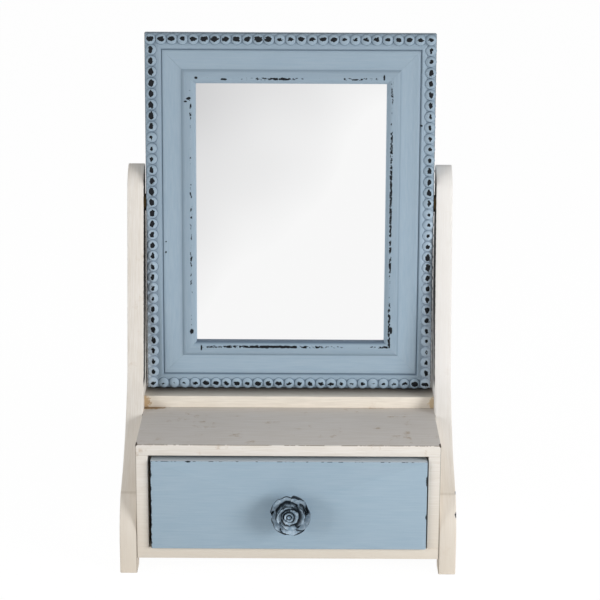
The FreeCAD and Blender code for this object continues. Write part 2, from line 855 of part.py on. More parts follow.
for item in doc.Objects:
    if "Invalid" in item.State or "Error" in item.State:
        raise RuntimeError(f"{item.Label} did not build: {item.State}")
os.makedirs("parts", exist_ok=True)
for name, item in parts.items():
    if item.Shape.isNull() or not item.Shape.isValid() or not item.Shape.Solids:
        raise RuntimeError(f"{name} has no sound shape")
for name, item in parts.items():
    item.Shape.exportStep(f"parts/{name}.step")
print(len(parts), "sub-parts")
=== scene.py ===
"""A vanity mirror with one drawer: its painted boards, beaded frame, rose knob and silvered glass."""
import json
import math

import bmesh
import bpy
from mathutils import Matrix, Vector


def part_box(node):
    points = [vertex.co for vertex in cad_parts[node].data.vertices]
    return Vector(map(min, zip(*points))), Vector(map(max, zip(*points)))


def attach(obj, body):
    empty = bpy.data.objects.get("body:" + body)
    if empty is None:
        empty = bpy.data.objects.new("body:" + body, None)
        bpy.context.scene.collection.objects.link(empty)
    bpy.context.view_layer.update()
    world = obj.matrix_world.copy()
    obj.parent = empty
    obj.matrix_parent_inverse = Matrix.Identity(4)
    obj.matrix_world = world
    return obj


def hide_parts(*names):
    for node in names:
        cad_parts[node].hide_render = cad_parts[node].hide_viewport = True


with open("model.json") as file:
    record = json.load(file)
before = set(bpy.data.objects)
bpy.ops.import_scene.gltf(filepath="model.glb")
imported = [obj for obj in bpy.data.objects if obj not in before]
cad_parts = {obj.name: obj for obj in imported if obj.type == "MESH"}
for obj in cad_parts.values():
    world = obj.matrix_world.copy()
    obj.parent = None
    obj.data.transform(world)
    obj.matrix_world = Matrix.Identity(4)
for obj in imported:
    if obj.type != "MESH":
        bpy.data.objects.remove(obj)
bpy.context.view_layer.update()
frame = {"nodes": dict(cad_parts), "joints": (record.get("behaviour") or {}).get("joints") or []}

MM = 0.001


# ---------------------------------------------------------------- places from the frame

joints = {joint["name"]: joint for joint in frame["joints"]}
pivot = Vector(joints["mirror_tilt"]["pos_m"])
TILT = math.radians(4.2)
# The mirror's own axes: X across, Y up along the glass, Z out of its face.
mirror_place = Matrix.Translation(pivot) @ Matrix.Rotation(math.pi / 2 - TILT, 4, "X")
mirror_facing = mirror_place.to_3x3() @ Vector((0, 0, 1))

FRAME_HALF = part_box("frame_rail_bottom")[1].x
# How far the frame reaches below and above its pivots, and how thick it is.
FRAME_BELOW, FRAME_ABOVE, FRAME_THICK = 0.1748, 0.1564, 0.020
panel_low, panel_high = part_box("side_panel_right")
PANEL_INNER, PANEL_OUTER, UPRIGHT_TOP = panel_low.x, panel_high.x, panel_high.z
BOX_FRONT, BOX_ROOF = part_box("box_top")[0].y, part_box("box_top")[1].z
RAIL_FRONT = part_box("rear_rail")[0].y
drawer_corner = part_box("drawer_front")[0]
DRAWER_LEFT, DRAWER_FACE = drawer_corner.x, drawer_corner.y
rose_low, rose_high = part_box("knob_rose")
stem_low, stem_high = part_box("knob_stem")

# The height of the crease in the side panels' front edge, and the line of their uprights' front edge: how far
# back it is at the floor, and how far it leans back for each metre up.
CREASE = 0.0702
UPRIGHT_EDGE, UPRIGHT_LEAN = 0.0175, 0.205
# Where the painted shade of the gap beside the swinging frame starts on the uprights' inner faces, above the
# rail.
GAP_SHADE_FOOT = 0.1420
# How far back the painted shadow of the frame on the rail's top starts, and where it is deepest, under the
# frame.
SHADE_UNDER_FRAME_FRONT, SHADE_UNDER_FRAME_DEEP = 0.0375, 0.0550
# Between these heights the cream paint takes painted shade downwards, yellower and darker, the frame greys
# upwards, and its outer beads take painted light downwards, paler.
LOW_SHADE_FROM, LOW_SHADE_TO = 0.12, 0.01
GREY_FROM, GREY_TO = 0.15, 0.46
BEAD_LIGHT_FROM, BEAD_LIGHT_TO = 0.33, 0.22
# The right upright is the whiter of the two, partly a more neutral paint tone and partly painted light: it
# turns whiter between these places across, and these heights.
TONE_AND_LIGHT_LEFT, TONE_AND_LIGHT_RIGHT = -0.1, 0.1
TONE_AND_LIGHT_LOW, TONE_AND_LIGHT_HIGH = 0.08, 0.16


# ---------------------------------------------------------------- materials

# A face whose normal's second part is below this looks to the front.
FRONTWARD = -0.2
SMOOTH = {"interpolation_type": "SMOOTHSTEP"}


def paint(code):
    """An sRGB hex colour as linear RGBA."""
    parts = [int(code[i:i + 2], 16) / 255 for i in (0, 2, 4)]
    return tuple(p / 12.92 if p <= 0.04045 else ((p + 0.055) / 1.055) ** 2.4 for p in parts) + (1.0,)


def per_mm(size):
    """The noise scale whose features are about this many millimetres across."""
    return 1000.0 / size


def add(tree, kind, settings=None, **inputs):
    """Adds a node, sets its properties, and gives each input a value, a link or a node's first output."""
    node = tree.nodes.new("ShaderNode" + kind)
    for name, value in (settings or {}).items():
        setattr(node, name, value)
    for name, value in inputs.items():
        key = int(name[1:]) if name[0] == "_" else name.replace("_", " ")
        if isinstance(value, bpy.types.Node):
            value = value.outputs[0]
        if isinstance(value, bpy.types.NodeSocket):
            tree.links.new(value, node.inputs[key])
        else:
            node.inputs[key].default_value = value
    return node


def bare_tree(owner):
    """The node tree of a material or a world, emptied."""
    owner.use_nodes = True
    owner.node_tree.nodes.clear()
    return owner.node_tree


def finish(name, **settings):
    """A new material with a bare Principled surface, its tree, its shader and its coordinates."""
    material = bpy.data.materials.new(name)
    tree = bare_tree(material)
    shader = add(tree, "BsdfPrincipled", **settings)
    add(tree, "OutputMaterial", Surface=shader)
    place = add(tree, "TexCoord").outputs["Object"]
    return material, tree, shader, place


def coat(tree, colour, code, *shares):
    """Lays a coat of paint, wear or dirt over a colour, where all its shares, each 0 to 1, hold at once."""
    share = shares[0]
    for other in shares[1:]:
        share = add(tree, "Math", {"operation": "MULTIPLY"}, _0=share, _1=other)
    return add(tree, "Mix", {"data_type": "RGBA"}, _0=share, _6=colour, _7=paint(code)).outputs[2]


def facing(tree):
    """Which way the surface faces, in three parts: to the right, to the rear and up."""
    return add(tree, "SeparateXYZ", Vector=add(tree, "NewGeometry").outputs["Normal"]).outputs


def brushed(tree, shader, place, lanes, strength):
    """Faint ridges left by a brush, stretched along one direction."""
    stretched = add(tree, "Mapping", Vector=place, Scale=lanes)
    ridges = add(tree, "TexNoise", Vector=stretched, Scale=1.0, Detail=4.0, Roughness=0.6)
    bump = add(tree, "Bump", Height=ridges, Strength=strength, Distance=0.4 * MM)
    tree.links.new(bump.outputs[0], shader.inputs["Normal"])
    return ridges


def spot(tree, place, centre, radii):
    """1 inside a ragged blob about a point, for one mark on one place; sizes in metres."""
    away = add(tree, "VectorMath", {"operation": "SUBTRACT"}, _0=place, _1=centre)
    scaled = add(tree, "VectorMath", {"operation": "DIVIDE"}, _0=away, _1=radii)
    length = add(tree, "VectorMath", {"operation": "LENGTH"}, _0=scaled).outputs["Value"]
    ragged = add(tree, "TexNoise", Vector=place, Scale=per_mm(2.2), Detail=3.0, Roughness=0.6)
    reach = add(tree, "Math", {"operation": "MULTIPLY_ADD"}, _0=ragged, _1=1.6, _2=length)
    return add(tree, "MapRange", SMOOTH, Value=reach, From_Min=1.95, From_Max=1.6)


def front_line(tree, measure, level, soft, hard, strength):
    """A thin dark line where a measure passes a level, and the faces to the front that it keeps to. It fades
    between its soft and hard half widths, in millimetres."""
    off = add(tree, "Math", {"operation": "SUBTRACT"}, _0=measure, _1=level)
    near = add(tree, "Math", {"operation": "ABSOLUTE"}, _0=off)
    line = add(tree, "MapRange", SMOOTH, Value=near, From_Min=soft * MM, From_Max=hard * MM, To_Max=strength)
    front = add(tree, "Math", {"operation": "LESS_THAN"}, _0=facing(tree)[1], _1=FRONTWARD)
    return line, front


def arris_rub(tree, place, size, level):
    """The arris between a board's top and front, and where noise says that the paint there has rubbed off."""
    normal = facing(tree)
    forward = add(tree, "Math", {"operation": "MULTIPLY"}, _0=normal[1], _1=-1.0)
    least = add(tree, "Math", {"operation": "MINIMUM"}, _0=forward, _1=normal[2])
    edge = add(tree, "MapRange", SMOOTH, Value=least, From_Min=0.12, From_Max=0.3)
    grit = add(tree, "TexNoise", Vector=place, Scale=per_mm(size), Detail=4.0, Roughness=0.65)
    rub = add(tree, "MapRange", SMOOTH, Value=grit, From_Min=level, From_Max=level + 0.08)
    return edge, rub


def cream_paint(name, lanes, soil, low="EAE4DB", high="F1ECE6"):
    """Brushed chalk paint over pine: warm white with faint brush lanes, yellower and darker low down as
    painted shade, brown in the seam beside each side panel and where it is soiled."""
    material, tree, shader, place = finish(name, Roughness=0.62, IOR=1.5, Specular_IOR_Level=0.3)
    patch = add(tree, "TexNoise", Vector=place, Scale=per_mm(55), Detail=3.0, Roughness=0.55)
    colour = coat(tree, paint(low), high, patch)
    ridges = brushed(tree, shader, place, lanes, 0.12)
    streak = add(tree, "MapRange", Value=ridges, From_Min=0.38, From_Max=0.66, To_Max=0.45)
    colour = coat(tree, colour, "D9CFC1", streak)
    smudge = add(tree, "TexNoise", Vector=place, Scale=per_mm(16), Detail=5.0, Roughness=0.7)
    dirty = add(tree, "MapRange", SMOOTH, Value=smudge, From_Min=0.58, From_Max=0.78, To_Max=soil)
    colour = coat(tree, colour, "B79B78", dirty)
    across, _, height = add(tree, "SeparateXYZ", Vector=place).outputs
    # Painted shade: yellower and darker towards the floor.
    low_shade = add(tree, "MapRange", SMOOTH, Value=height, From_Min=LOW_SHADE_FROM, From_Max=LOW_SHADE_TO, To_Max=0.7)
    colour = coat(tree, colour, "E1D5C4", low_shade)
    width = add(tree, "Math", {"operation": "ABSOLUTE"}, _0=across)
    line, front = front_line(tree, width, PANEL_INNER, 0.9, 0.1, 0.75)
    below = add(tree, "Math", {"operation": "LESS_THAN"}, _0=height, _1=BOX_ROOF + 0.2 * MM)
    colour = coat(tree, colour, "6F6152", line, front, below)
    return material, tree, shader, place, colour


# The chips on the right foot's front edge: where each is and its half sizes, in metres.
FOOT_CHIPS = (
    ((PANEL_OUTER, -0.0510, 0.0715), (0.0012, 0.004, 0.0016)),
    ((PANEL_OUTER, -0.0625, 0.0555), (0.0014, 0.004, 0.0030)),
)


def panel_paint(name="chalk_paint_cream_upright"):
    """The side panels' paint: lanes upright, a line of painted shade at the crease, a whiter right upright,
    partly its paint tone and partly painted light, two chips on the right foot's edge, and inner faces
    painted near-black near their front edge, as painted shade in the gap where the frame swings past."""
    lanes = (per_mm(1.2), per_mm(24), per_mm(24))
    material, tree, shader, place, colour = cream_paint(name, lanes, 0.3)
    across, back, height = add(tree, "SeparateXYZ", Vector=place).outputs
    # Painted shade: a thin line along the crease in the front edge.
    colour = coat(tree, colour, "A4957F", *front_line(tree, height, CREASE, 1.2, 0.2, 0.22))
    # Painted light and a whiter paint tone: whiter towards the right and upwards.
    right = add(tree, "MapRange", Value=across, From_Min=TONE_AND_LIGHT_LEFT, From_Max=TONE_AND_LIGHT_RIGHT, To_Max=0.55)
    upper = add(tree, "MapRange", Value=height, From_Min=TONE_AND_LIGHT_LOW, From_Max=TONE_AND_LIGHT_HIGH)
    colour = coat(tree, colour, "F3F2F1", right, upper)
    # Painted shade: the inner faces turn near-black near their front edge, above the rail, for the gap beside
    # the frame.
    width = add(tree, "Math", {"operation": "ABSOLUTE"}, _0=across)
    ragged = add(tree, "TexNoise", Vector=place, Scale=per_mm(4), Detail=3.0)
    reach = add(tree, "Math", {"operation": "MULTIPLY_ADD"}, _0=ragged, _1=-0.6 * MM, _2=width)
    inner = add(tree, "MapRange", Value=reach, From_Min=PANEL_INNER + 0.2 * MM,
                From_Max=PANEL_INNER - 0.1 * MM)
    above = add(tree, "MapRange", Value=height, From_Min=GAP_SHADE_FOOT, From_Max=GAP_SHADE_FOOT + 6 * MM)
    behind = add(tree, "Math", {"operation": "MULTIPLY_ADD"}, _0=height, _1=-UPRIGHT_LEAN, _2=back)
    near = add(tree, "MapRange", Value=behind, From_Min=UPRIGHT_EDGE + 4 * MM, From_Max=UPRIGHT_EDGE)
    colour = coat(tree, colour, "15120F", inner, above, near)
    for centre, radii in FOOT_CHIPS:
        colour = coat(tree, colour, "3A3A3E", spot(tree, place, centre, radii))
    tree.links.new(colour, shader.inputs["Base Color"])
    return material


def board_paint(name, soil, stains_and_shade, top_shade_and_rub=False, shade_under_frame=False, **tones):
    """The box's and rail's paint: lanes across, and stains and painted shade where they are given. The box
    top takes painted shade on its top faces and is rubbed on its front arris, and the rail's top takes
    painted shadow under the frame."""
    lanes = (per_mm(24), per_mm(1.2), per_mm(1.2))
    material, tree, shader, place, colour = cream_paint(name, lanes, soil, **tones)
    if top_shade_and_rub or shade_under_frame:
        top = add(tree, "MapRange", Value=facing(tree)[2], From_Min=0.5, From_Max=0.9)
    # Painted shade: top faces multiplied a little greyer.
    if top_shade_and_rub:
        colour = add(tree, "Mix", {"data_type": "RGBA", "blend_type": "MULTIPLY"}, _0=top, _6=colour,
                     _7=paint("E6E6E8")).outputs[2]
        colour = coat(tree, colour, "8C7F70", *arris_rub(tree, place, 9, 0.42))
    # Painted shadow of the frame on the rail's top faces, deeper towards the back.
    if shade_under_frame:
        back = add(tree, "SeparateXYZ", Vector=place).outputs[1]
        under = add(tree, "MapRange", Value=back, From_Min=SHADE_UNDER_FRAME_FRONT, From_Max=SHADE_UNDER_FRAME_DEEP, To_Min=0.2,
                    To_Max=0.8)
        colour = coat(tree, colour, "4A4038", top, under)
    for centre, radii, shade in stains_and_shade:
        colour = coat(tree, colour, shade, spot(tree, place, centre, radii))
    tree.links.new(colour, shader.inputs["Base Color"])
    return material


def blue_paint(name, lanes, low, high):
    """Brushed chalk paint: matt grey-blue with paler lanes. Where it wears, a near-black undercoat shows."""
    material, tree, shader, place = finish(name, Roughness=0.65, IOR=1.5, Specular_IOR_Level=0.2)
    patch = add(tree, "TexNoise", Vector=place, Scale=per_mm(48), Detail=3.0, Roughness=0.55)
    colour = coat(tree, paint(low), high, patch)
    ridges = brushed(tree, shader, place, lanes, 0.15)
    streak = add(tree, "MapRange", Value=ridges, From_Min=0.35, From_Max=0.68, To_Max=0.45)
    return material, tree, shader, place, coat(tree, colour, "B2C3CF", streak)


def carving_chips(tree, place, bites):
    """1 where the carving has chipped: where crest says that it stands proud, in ragged bites along the rail,
    and more in some stretches than in others."""
    crest = add(tree, "Attribute", {"attribute_name": "crest"}).outputs["Fac"]
    longways = add(tree, "Mapping", Vector=place, Scale=bites)
    bite = add(tree, "TexNoise", Vector=longways, Scale=1.0, Detail=3.0, Roughness=0.6)
    luck = add(tree, "TexNoise", Vector=place, Scale=per_mm(34), Detail=1.0)
    sway = add(tree, "Math", {"operation": "MULTIPLY_ADD"}, _0=luck, _1=0.9, _2=-0.45)
    rough = add(tree, "Math", {"operation": "MULTIPLY_ADD"}, _0=bite, _1=1.2, _2=sway)
    total = add(tree, "Math", {"operation": "ADD"}, _0=crest, _1=rough)
    return add(tree, "MapRange", SMOOTH, Value=total, From_Min=1.24, From_Max=1.30)


# The frame's larger chips: how far across and up from its pivots, and their half width and height, in
# millimetres. They lie this far out of the middle of its thickness, and reach this far in and out.
FRAME_CHIPS = (
    (-93.2, 97.1, 2.4, 1.3), (-96.0, 94.3, 1.4, 0.9), (-91.4, -120.7, 2.0, 2.4), (-86.2, 116.0, 1.5, 1.2),
    (-60.7, 114.7, 2.8, 1.1), (85.6, 116.6, 0.9, 2.6), (94.9, -118.8, 1.3, 3.2), (-114.9, -36.2, 0.8, 0.8),
    (-115.0, -46.2, 0.8, 0.9), (120.3, 72.7, 1.2, 0.9), (-82.4, -136.4, 0.9, 2.8),
)
CHIPS_OUT, CHIPS_DEEP = 9, 8


def frame_paint(name, lanes, bites):
    """The frame's paint: painted shade in its hollows, greyer towards the top, painted light on its outer
    beads lower down, chipped on its carving, and near-black painted shade along its outer front edge, beside
    the uprights."""
    material, tree, shader, place, colour = blue_paint(name, lanes, "9AB0C1", "A2B7C8")
    # Painted shade in the moulding's hollows, groove and steps, on its lip and at the beads' feet.
    dark_and_shade = add(tree, "Attribute", {"attribute_name": "dark_and_shade"}).outputs["Fac"]
    colour = coat(tree, colour, "4A5C70", dark_and_shade)
    across, _, height = add(tree, "SeparateXYZ", Vector=place).outputs
    high = add(tree, "MapRange", Value=height, From_Min=GREY_FROM, From_Max=GREY_TO, To_Max=0.42)
    colour = coat(tree, colour, "8D9CA8", high)
    # Painted light: the outer beads turn paler lower down, beside the uprights.
    width = add(tree, "Math", {"operation": "ABSOLUTE"}, _0=across)
    outer = add(tree, "MapRange", Value=width, From_Min=FRAME_HALF - 11.6 * MM,
                From_Max=FRAME_HALF - 2.6 * MM, To_Max=0.9)
    low = add(tree, "MapRange", Value=height, From_Min=BEAD_LIGHT_FROM, From_Max=BEAD_LIGHT_TO)
    colour = coat(tree, colour, "CFE0F0", outer, low)
    colour = coat(tree, colour, "0B0F14", carving_chips(tree, place, bites))
    for right, up, half_width, half_height in FRAME_CHIPS:
        centre = mirror_place @ Vector((right * MM, up * MM, CHIPS_OUT * MM))
        radii = (half_width * MM, CHIPS_DEEP * MM, half_height * MM)
        colour = coat(tree, colour, "0B0F14", spot(tree, place, centre, radii))
    # Painted shade: near-black along the outer front edge beside the uprights, for the narrow gap there.
    ragged = add(tree, "TexNoise", Vector=place, Scale=per_mm(3), Detail=2.0)
    reach = add(tree, "Math", {"operation": "MULTIPLY_ADD"}, _0=ragged, _1=1.0 * MM, _2=width)
    edge = add(tree, "MapRange", Value=reach, From_Min=FRAME_HALF - 0.2 * MM, From_Max=FRAME_HALF + 0.3 * MM)
    beside = add(tree, "MapRange", Value=height, From_Min=UPRIGHT_TOP + 2.5 * MM,
                 From_Max=UPRIGHT_TOP - 2.5 * MM)
    forward = add(tree, "VectorMath", {"operation": "DOT_PRODUCT"}, _0=place, _1=mirror_facing)
    middle = mirror_facing.dot(pivot)
    front = add(tree, "MapRange", Value=forward.outputs["Value"], From_Min=middle + 1 * MM,
                From_Max=middle + 4 * MM)
    colour = coat(tree, colour, "0B0D10", edge, beside, front)
    tree.links.new(colour, shader.inputs["Base Color"])
    return material


# The drawer front's chips, one on its top arris and two on its right one: where each is and its half sizes,
# in metres.
DRAWER_CHIPS = (
    ((-0.0882, DRAWER_FACE, 0.1079), (0.0022, 0.0012, 0.0012)),
    ((0.1230, DRAWER_FACE, 0.0900), (0.0010, 0.0012, 0.0040)),
    ((0.1230, DRAWER_FACE, 0.0560), (0.0009, 0.0012, 0.0025)),
)


def drawer_paint(name="chalk_paint_blue_drawer"):
    """The drawer front's paint: paler on its top, rubbed thin on its top arris, chipped along its left one
    and in three more places."""
    lanes = (per_mm(30), per_mm(1.4), per_mm(1.4))
    material, tree, shader, place, colour = blue_paint(name, lanes, "9AB1C1", "A2B8C8")
    top = add(tree, "MapRange", Value=facing(tree)[2], From_Min=0.75, From_Max=0.95, To_Max=0.7)
    colour = coat(tree, colour, "DCE3E9", top)
    colour = coat(tree, colour, "35414E", *arris_rub(tree, place, 6, 0.50))
    across, back, _ = add(tree, "SeparateXYZ", Vector=place).outputs
    ragged = add(tree, "TexNoise", Vector=place, Scale=per_mm(3), Detail=3.0)
    reach = add(tree, "Math", {"operation": "MULTIPLY_ADD"}, _0=ragged, _1=3.0 * MM, _2=across)
    edge = add(tree, "MapRange", Value=reach, From_Min=DRAWER_LEFT + 2.1 * MM,
               From_Max=DRAWER_LEFT + 1.8 * MM)
    front = add(tree, "MapRange", Value=back, From_Min=DRAWER_FACE + 2 * MM, From_Max=DRAWER_FACE + 1 * MM)
    colour = coat(tree, colour, "10151B", edge, front)
    for centre, radii in DRAWER_CHIPS:
        colour = coat(tree, colour, "1C242D", spot(tree, place, centre, radii))
    tree.links.new(colour, shader.inputs["Base Color"])
    return material


def rose_paint(name="blue_wash_over_dark_resin"):
    """Cast resin rose: near-black in its folds, as dark resin with painted shade, and on its rubbed rims,
    with pale grey-blue paint between.
    """
    material, tree, shader, place = finish(name, Roughness=0.5, IOR=1.5, Specular_IOR_Level=0.4)
    patch = add(tree, "TexNoise", Vector=place, Scale=per_mm(3), Detail=4.0, Roughness=0.65)
    spread = add(tree, "MapRange", Value=patch, From_Min=0.35, From_Max=0.65)
    colour = coat(tree, paint("7C95A9"), "BBCEDD", spread)
    fold = add(tree, "Attribute", {"attribute_name": "dark_and_shade"}).outputs["Fac"]
    rim = add(tree, "Attribute", {"attribute_name": "crest"}).outputs["Fac"]
    rub = add(tree, "TexNoise", Vector=place, Scale=per_mm(6), Detail=2.0, Roughness=0.6)
    rough = add(tree, "Math", {"operation": "MULTIPLY_ADD"}, _0=rub, _1=2.0, _2=rim)
    worn = add(tree, "MapRange", SMOOTH, Value=rough, From_Min=1.56, From_Max=1.72)
    # Painted shade with dark resin: the folds, wider on the underside, and the cupped back and neck.
    deep = add(tree, "MapRange", SMOOTH, Value=fold, From_Min=0.14, From_Max=0.72)
    dark = add(tree, "Math", {"operation": "MAXIMUM"}, _0=worn, _1=deep)
    tree.links.new(coat(tree, colour, "18232D", dark), shader.inputs["Base Color"])
    return material


def bare_pine(name="planed_pine_bare"):
    """Planed pine: pale straw with darker growth lines along the board."""
    material, tree, shader, place = finish(name, Roughness=0.6, IOR=1.5, Specular_IOR_Level=0.3)
    lanes = add(tree, "Mapping", Vector=place, Scale=(0.12, 0.12, 1.0))
    drift = add(tree, "TexNoise", Vector=lanes, Scale=per_mm(12), Detail=3.0, Distortion=0.6)
    rings = add(tree, "TexWave", {"wave_type": "BANDS", "bands_direction": "Z"}, Vector=lanes,
                Scale=per_mm(26), Distortion=5.0, Detail=3.0, Detail_Scale=1.2)
    late = add(tree, "MapRange", Value=rings.outputs["Fac"], From_Min=0.5, From_Max=0.95, To_Max=0.42)
    colour = coat(tree, paint("D9C29A"), "E6D4B2", drift)
    tree.links.new(coat(tree, colour, "BE9B6B", late), shader.inputs["Base Color"])
    brushed(tree, shader, place, (per_mm(9), per_mm(9), per_mm(0.8)), 0.1)
    return material


def hardboard(name="pressed_hardboard_brown"):
    """Pressed hardboard: mid brown with short dark fibres, drawn coarse enough to show."""
    material, tree, shader, place = finish(name, Roughness=0.55, IOR=1.5, Specular_IOR_Level=0.35)
    cloud = add(tree, "TexNoise", Vector=place, Scale=per_mm(30), Detail=2.0)
    fibre = add(tree, "TexNoise", Vector=place, Scale=per_mm(1.4), Detail=5.0, Roughness=0.75)
    dark = add(tree, "MapRange", Value=fibre, From_Min=0.5, From_Max=0.75, To_Max=0.6)
    colour = coat(tree, paint("7C5C3E"), "8B6947", cloud)
    tree.links.new(coat(tree, colour, "4E3826", dark), shader.inputs["Base Color"])
    bump = add(tree, "Bump", Height=fibre, Strength=0.2, Distance=0.3 * MM)
    tree.links.new(bump.outputs[0], shader.inputs["Normal"])
    return material


def silvered_glass(name="silvered_float_glass"):
    """Float glass silvered on its back: a clean mirror with a painted reflection, greyer towards its upper
    left corner.
    """
    material, tree, shader, place = finish(name, Metallic=1.0, Roughness=0.015)
    reflection_sway = add(tree, "TexNoise", Vector=place, Scale=per_mm(110), Detail=1.0)
    drift = add(tree, "Math", {"operation": "MULTIPLY_ADD"}, _0=reflection_sway, _1=0.12, _2=-0.06)
    across, _, height = add(tree, "SeparateXYZ", Vector=place).outputs
    swayed = add(tree, "Math", {"operation": "ADD"}, _0=across, _1=drift)
    slant = add(tree, "Math", {"operation": "MULTIPLY_ADD"}, _0=height, _1=-0.9, _2=swayed)
    fade = add(tree, "MapRange", Value=slant, From_Min=-0.46, From_Max=-0.26)
    tree.links.new(coat(tree, paint("CDCDCE"), "F3F3F3", fade), shader.inputs["Base Color"])
    return material


def plain_metal(name, light, dark, rough):
    """Plain drawn or turned metal: a faint, fine grain."""
    material, tree, shader, place = finish(name, Metallic=1.0, Roughness=rough)
    grain = add(tree, "TexNoise", Vector=place, Scale=per_mm(1.5), Detail=4.0)
    tree.links.new(coat(tree, paint(dark), light, grain), shader.inputs["Base Color"])
    bump = add(tree, "Bump", Height=grain, Strength=0.1, Distance=0.1 * MM)
    tree.links.new(bump.outputs[0], shader.inputs["Normal"])
    return material


# Marks near the boards' ends: where each is and its half sizes, in metres, and its colour. The rail's are
# painted shade in its corners at the uprights; the box's and its top's are stains.
RAIL_CORNER_SHADE = (
    ((-PANEL_INNER, RAIL_FRONT, BOX_ROOF + 5.1 * MM), (0.0060, 0.004, 0.0060), "C9AF8C"),
    ((PANEL_INNER, RAIL_FRONT, BOX_ROOF + 4.6 * MM), (0.0050, 0.004, 0.0060), "D3BF9F"),
)
BOX_STAINS = (
    ((-PANEL_INNER, BOX_FRONT, BOX_ROOF), (0.0018, 0.003, 0.0018), "4B4038"),
    ((PANEL_INNER, BOX_FRONT, BOX_ROOF - 1.4 * MM), (0.0014, 0.003, 0.0035), "4B4038"),
)
SHELF_STAINS = (
    ((-PANEL_INNER, 0.0350, BOX_ROOF), (0.0200, 0.004, 0.0020), "9C8160"),
    ((-PANEL_INNER, BOX_FRONT + 0.7 * MM, BOX_ROOF), (0.0018, 0.006, 0.0018), "4B4038"),
    ((PANEL_INNER, BOX_FRONT + 0.7 * MM, BOX_ROOF), (0.0018, 0.006, 0.0018), "4B4038"),
)

cream_panel = panel_paint()
cream_rail = board_paint("chalk_paint_cream_rail", 0.2, RAIL_CORNER_SHADE, shade_under_frame=True, low="F3EADC", high="F8F1E5")
cream_board = board_paint("chalk_paint_cream_across", 0.25, BOX_STAINS)
top_shaded_board = board_paint("chalk_paint_across_top_shaded", 0.9, SHELF_STAINS, top_shade_and_rub=True)
blue_across = frame_paint("chalk_paint_blue_across", (per_mm(30), per_mm(1.4), per_mm(1.4)),
                          (per_mm(3.2), per_mm(2.2), per_mm(2.2)))
blue_upright = frame_paint("chalk_paint_blue_upright", (per_mm(1.4), per_mm(1.4), per_mm(30)),
                           (per_mm(2.2), per_mm(2.2), per_mm(3.2)))
blue_drawer = drawer_paint()
resin = rose_paint()
pine = bare_pine()
board_brown = hardboard()
glass = silvered_glass()
steel = plain_metal("drawn_steel_plain", "A9ABAD", "7F8284", 0.35)
# Painted shade: the pivot brass is near-black, for the shade in the gaps beside the frame.
brass = plain_metal("turned_brass_painted_shade", "4A3D28", "2B2318", 0.45)


# ---------------------------------------------------------------- pieces

# Points closer than this are one point, in a copied board and in turned or carved work.
COPY_MERGE, TURNED_MERGE = 0.01 * MM, 0.005 * MM
# Faces of a copied board that turn by less than the first angle are one face. Its arrises are edges that turn
# by more than the second. Shorter ones belong to its curves.
FLAT_ANGLE, ARRIS_ANGLE, ARRIS_LEAST = math.radians(0.5), math.radians(40), 1.3 * MM


def as_mesh(name, work, material):
    """The mesh that a bmesh has made, in its material."""
    mesh = bpy.data.meshes.new(name)
    work.to_mesh(mesh)
    work.free()
    mesh.materials.append(material)
    return mesh


def put(name, data):
    """Puts a mesh, a light or a camera in the scene, as an object of this name."""
    thing = bpy.data.objects.new(name, data)
    bpy.context.scene.collection.objects.link(thing)
    return thing


def make_piece(name, work, body, slot, material, *nodes, smooth=32):
    """Turns a bmesh into a piece that rides on a body and stands for these nodes. Edges that turn by more
    than smooth degrees stay sharp."""
    mesh = as_mesh(name, work, material)
    mesh.shade_smooth()
    mesh.set_sharp_from_angle(angle=math.radians(smooth))
    piece = put(name, mesh)
    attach(piece, body)
    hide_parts(*nodes)
    return piece


def turned(work, profile, steps):
    """Turns a profile, in millimetres out from the axis and up it, into round work; gives the new points."""
    others = set(work.verts)
    points = [work.verts.new((out * MM, 0.0, up * MM)) for out, up in profile]
    edges = [work.edges.new(pair) for pair in zip(points, points[1:])]
    bmesh.ops.spin(work, geom=points + edges, cent=(0, 0, 0), axis=(0, 0, 1), angle=2 * math.pi, steps=steps,
                   use_merge=True)
    doubled = [point for point in work.verts if point not in others]
    bmesh.ops.remove_doubles(work, verts=doubled, dist=TURNED_MERGE)
    return [point for point in work.verts if point not in others]


def set_in_place(work, place):
    """Turns every face outwards and moves the work to its place."""
    bmesh.ops.recalc_face_normals(work, faces=work.faces)
    bmesh.ops.transform(work, matrix=place, verts=work.verts)


def dress_board(node, body, slot, material, arris):
    """A copy of a board with its outer arrises softened by this many millimetres, as sanding leaves them."""
    work = bmesh.new()
    work.from_mesh(frame["nodes"][node].data)
    bmesh.ops.remove_doubles(work, verts=work.verts, dist=COPY_MERGE)
    bmesh.ops.dissolve_limit(work, angle_limit=FLAT_ANGLE, verts=work.verts, edges=work.edges)
    sharp = [edge for edge in work.edges if len(edge.link_faces) == 2
             and edge.calc_length() > ARRIS_LEAST and edge.calc_face_angle() > ARRIS_ANGLE]
    bmesh.ops.bevel(work, geom=sharp, offset=arris * MM, offset_type="OFFSET", segments=3, profile=0.5,
                    affect="EDGES", material=-1, clamp_overlap=True)
    return make_piece(node + "_board", work, body, slot, material, node)


for node in ("side_panel_left", "side_panel_right"):
    dress_board(node, "stand", "cream_paint", cream_panel, 1.0)
for node in ("box_bottom", "box_side_left", "box_side_right"):
    dress_board(node, "stand", "cream_paint", cream_board, 0.25)
dress_board("rear_rail", "stand", "cream_paint", cream_rail, 0.5)
# The box top's greyer top faces are painted shade.
dress_board("box_top", "stand", "grey_paint", top_shaded_board, 0.5)
dress_board("drawer_front", "drawer", "blue_paint", blue_drawer, 0.8)
for node in ("drawer_side_left", "drawer_side_right", "drawer_back"):
    dress_board(node, "drawer", "raw_wood", pine, 0.6)


# ---------------------------------------------------------------- the beaded frame

